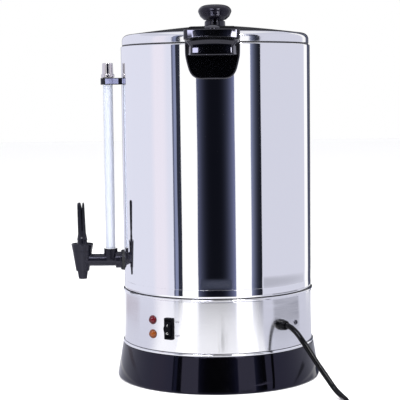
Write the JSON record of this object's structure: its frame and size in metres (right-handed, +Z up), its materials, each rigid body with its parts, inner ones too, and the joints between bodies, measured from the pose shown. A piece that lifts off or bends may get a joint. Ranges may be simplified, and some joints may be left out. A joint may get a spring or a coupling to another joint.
{
  "type": "hot water urn",
  "caption": "Countertop hot water urn with a polished steel tank, lift-off lid, lever tap with a level gauge, side handles, switch, pilot lamps and a mains lead.",
  "frame": {"origin": "on the urn's axis, in the plane it stands on", "axes": "+Z up; the tap faces -Y; the handles are at +X and -X"},
  "size_m": [0.5605, 0.4038, 0.5529],
  "materials": {
    "base_black": "high gloss",
    "cover_dark": "matt",
    "fastener_steel": "satin",
    "foot_rubber": "matt",
    "trim_chrome": "polished",
    "housing_steel": "brushed around",
    "seal_black": "matt",
    "tank_steel": "mirror polished",
    "lid_steel": "satin, spun",
    "inner_steel": "satin",
    "heater_aluminium": "cast",
    "element_sheath": "heat tinted",
    "sensor_black": "matt",
    "sensor_brown": "matt",
    "block_cream": "matt",
    "wire_red": "matt",
    "handle_black": "gloss",
    "silicone": "matt",
    "tap_black": "semi gloss",
    "nut_white": "matt",
    "gauge_glass": "clear",
    "switch_black": "semi gloss",
    "terminal_brass": "bright",
    "lens_red": "clear, faceted",
    "lens_amber": "clear, faceted",
    "cord_black": "semi gloss",
    "pin_nickel": "nickel plated"
  },
  "bodies": {
    "urn": {"base_skirt": "base_black", "bottom_cover": "cover_dark", "tie_nuts": "fastener_steel", "feet": "foot_rubber", "trim_ring": "trim_chrome", "lower_housing": "housing_steel", "seam_ring": "trim_chrome", "tank_shell": "tank_steel", "tank_floor": "inner_steel", "tie_rods": "fastener_steel", "heat_shield": "inner_steel", "heater_plate": "heater_aluminium", "boil_element": "element_sheath", "keep_warm_element": "element_sheath", "boil_thermostat": "sensor_black", "dry_boil_cutout": "sensor_brown", "terminal_block": "block_cream", "wiring": "wire_red", "handle_right": "handle_black", "handle_left": "handle_black", "handle_screws": "fastener_steel", "handle_washers": "silicone", "tap_body": "tap_black", "tap_bonnet": "tap_black", "tap_washers": "seal_black", "tap_lock_nut": "nut_white", "tap_spring": "fastener_steel", "gauge_tube": "gauge_glass", "gauge_seals": "silicone", "gauge_cap": "trim_chrome", "gauge_bracket": "tap_black", "gauge_bracket_screw": "fastener_steel", "switch_body": "switch_black", "switch_terminals": "terminal_brass", "boil_lamp_lens": "lens_red", "warm_lamp_lens": "lens_amber", "lamp_bodies": "nut_white", "lamp_nuts": "fastener_steel", "cable_gland": "switch_black", "gland_nut": "switch_black", "earth_screw": "fastener_steel", "mains_cord": "cord_black", "cord_coil": "cord_black", "cord_tail": "cord_black", "plug_body": "cord_black", "plug_pins": "pin_nickel"},
    "lid": {"lid_shell": "lid_steel", "lid_ring": "inner_steel", "knob_foot": "handle_black", "lid_knob": "handle_black", "knob_screw": "fastener_steel"},
    "stem": {"tap_stem": "fastener_steel", "seat_cup": "silicone", "lever_pin": "fastener_steel"},
    "lever": {"tap_lever": "tap_black"},
    "rocker": {"switch_rocker": "switch_black"}
  },
  "joints": [
    {"name": "lid_lift", "type": "slide", "parent": "urn", "child": "lid", "axis": [0, 0, 1], "range_m": [0, 0.12]},
    {"name": "stem_lift", "type": "slide", "parent": "urn", "child": "stem", "axis": [0, 0, 1], "range_m": [0, 0.0042], "deforming": ["tap_spring"]},
    {"name": "lever_tilt", "type": "hinge", "parent": "stem", "child": "lever", "pos_m": [0, -0.204, 0.2076], "axis": [1, 0, 0], "range_deg": [0, 30], "stiffness_Nm_per_rad": 0.15, "springref_deg": -28.65},
    {"name": "switch_rock", "type": "hinge", "parent": "urn", "child": "rocker", "pos_m": [0.1245, -0.0662, 0.09], "axis": [0.4695, 0.8829, 0], "range_deg": [0, 20]}
  ],
  "couplings": [
    {"joint": "stem_lift", "follows": "lever_tilt", "m_per_rad": 0.008}
  ]
}
